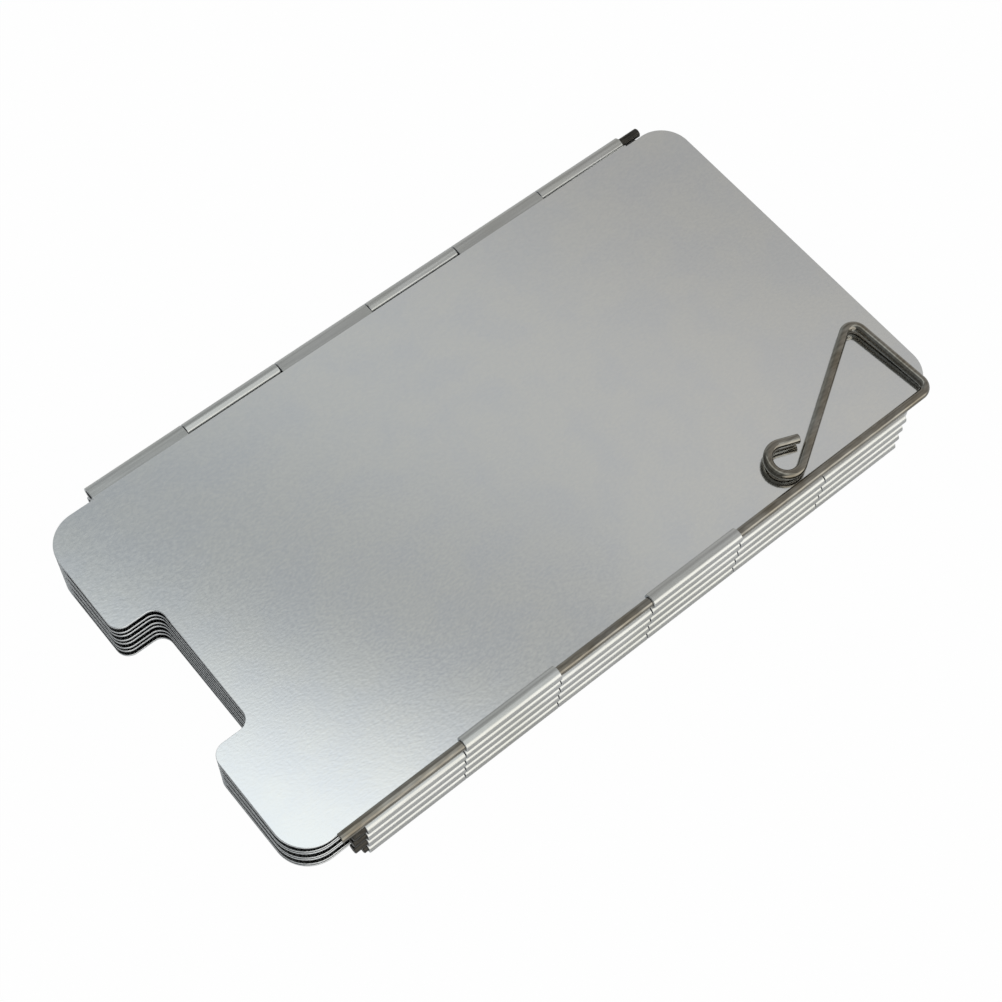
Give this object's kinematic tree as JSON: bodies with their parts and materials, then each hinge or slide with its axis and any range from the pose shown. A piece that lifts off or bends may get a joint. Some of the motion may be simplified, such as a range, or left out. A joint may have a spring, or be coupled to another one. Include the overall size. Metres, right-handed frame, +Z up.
{
  "type": "folding stove windscreen",
  "caption": "Folding camp stove windscreen: hinged aluminium panels with an air notch, folded flat into a stack, with a bent wire ground stake along one edge.",
  "frame": {"origin": "middle of the folded stack's base, on the ground", "axes": "+X along the panels from the notched end to the plain end, +Z up out of the top panel, -Y the edge with the stake"},
  "size_m": [0.1594, 0.0882, 0.0178],
  "materials": {
    "sheet": "satin",
    "pin_wire": "satin",
    "stake_wire": "polished"
  },
  "bodies": {
    "panel_8": {"panel_8": "sheet", "hinge_pin_7": "pin_wire", "edge_pin": "pin_wire"},
    "panel_7": {"panel_7": "sheet", "hinge_pin_6": "pin_wire"},
    "panel_6": {"panel_6": "sheet", "hinge_pin_5": "pin_wire"},
    "panel_5": {"panel_5": "sheet", "hinge_pin_4": "pin_wire"},
    "panel_4": {"panel_4": "sheet", "hinge_pin_3": "pin_wire"},
    "panel_3": {"panel_3": "sheet", "hinge_pin_2": "pin_wire"},
    "panel_2": {"panel_2": "sheet", "hinge_pin_1": "pin_wire"},
    "panel_1": {"panel_1": "sheet"},
    "stake": {"stake": "stake_wire"}
  },
  "joints": [
    {"name": "fold_7_8", "type": "hinge", "parent": "panel_8", "child": "panel_7", "pos_m": [0, 0.04251, 0.00332], "axis": [-1, 0, 0], "range_deg": [0, 150]},
    {"name": "fold_6_7", "type": "hinge", "parent": "panel_7", "child": "panel_6", "pos_m": [0, -0.04251, 0.0051], "axis": [1, 0, 0], "range_deg": [0, 210]},
    {"name": "fold_5_6", "type": "hinge", "parent": "panel_6", "child": "panel_5", "pos_m": [0, 0.04251, 0.00688], "axis": [-1, 0, 0], "range_deg": [0, 150]},
    {"name": "fold_4_5", "type": "hinge", "parent": "panel_5", "child": "panel_4", "pos_m": [0, -0.04251, 0.00865], "axis": [1, 0, 0], "range_deg": [0, 210]},
    {"name": "fold_3_4", "type": "hinge", "parent": "panel_4", "child": "panel_3", "pos_m": [0, 0.04251, 0.01043], "axis": [-1, 0, 0], "range_deg": [0, 150]},
    {"name": "fold_2_3", "type": "hinge", "parent": "panel_3", "child": "panel_2", "pos_m": [0, -0.04251, 0.0122], "axis": [1, 0, 0], "range_deg": [0, 210]},
    {"name": "fold_1_2", "type": "hinge", "parent": "panel_2", "child": "panel_1", "pos_m": [0, 0.04251, 0.01397], "axis": [-1, 0, 0], "range_deg": [0, 150]},
    {"name": "stake_slide", "type": "slide", "parent": "panel_1", "child": "stake", "axis": [-1, 0, 0], "range_m": [0, 0.045]}
  ],
  "couplings": [
    {"joint": "fold_6_7", "follows": "fold_7_8", "ratio": 1.4},
    {"joint": "fold_5_6", "follows": "fold_7_8", "ratio": 1},
    {"joint": "fold_4_5", "follows": "fold_7_8", "ratio": 1.4},
    {"joint": "fold_3_4", "follows": "fold_7_8", "ratio": 1},
    {"joint": "fold_2_3", "follows": "fold_7_8", "ratio": 1.4},
    {"joint": "fold_1_2", "follows": "fold_7_8", "ratio": 1}
  ]
}
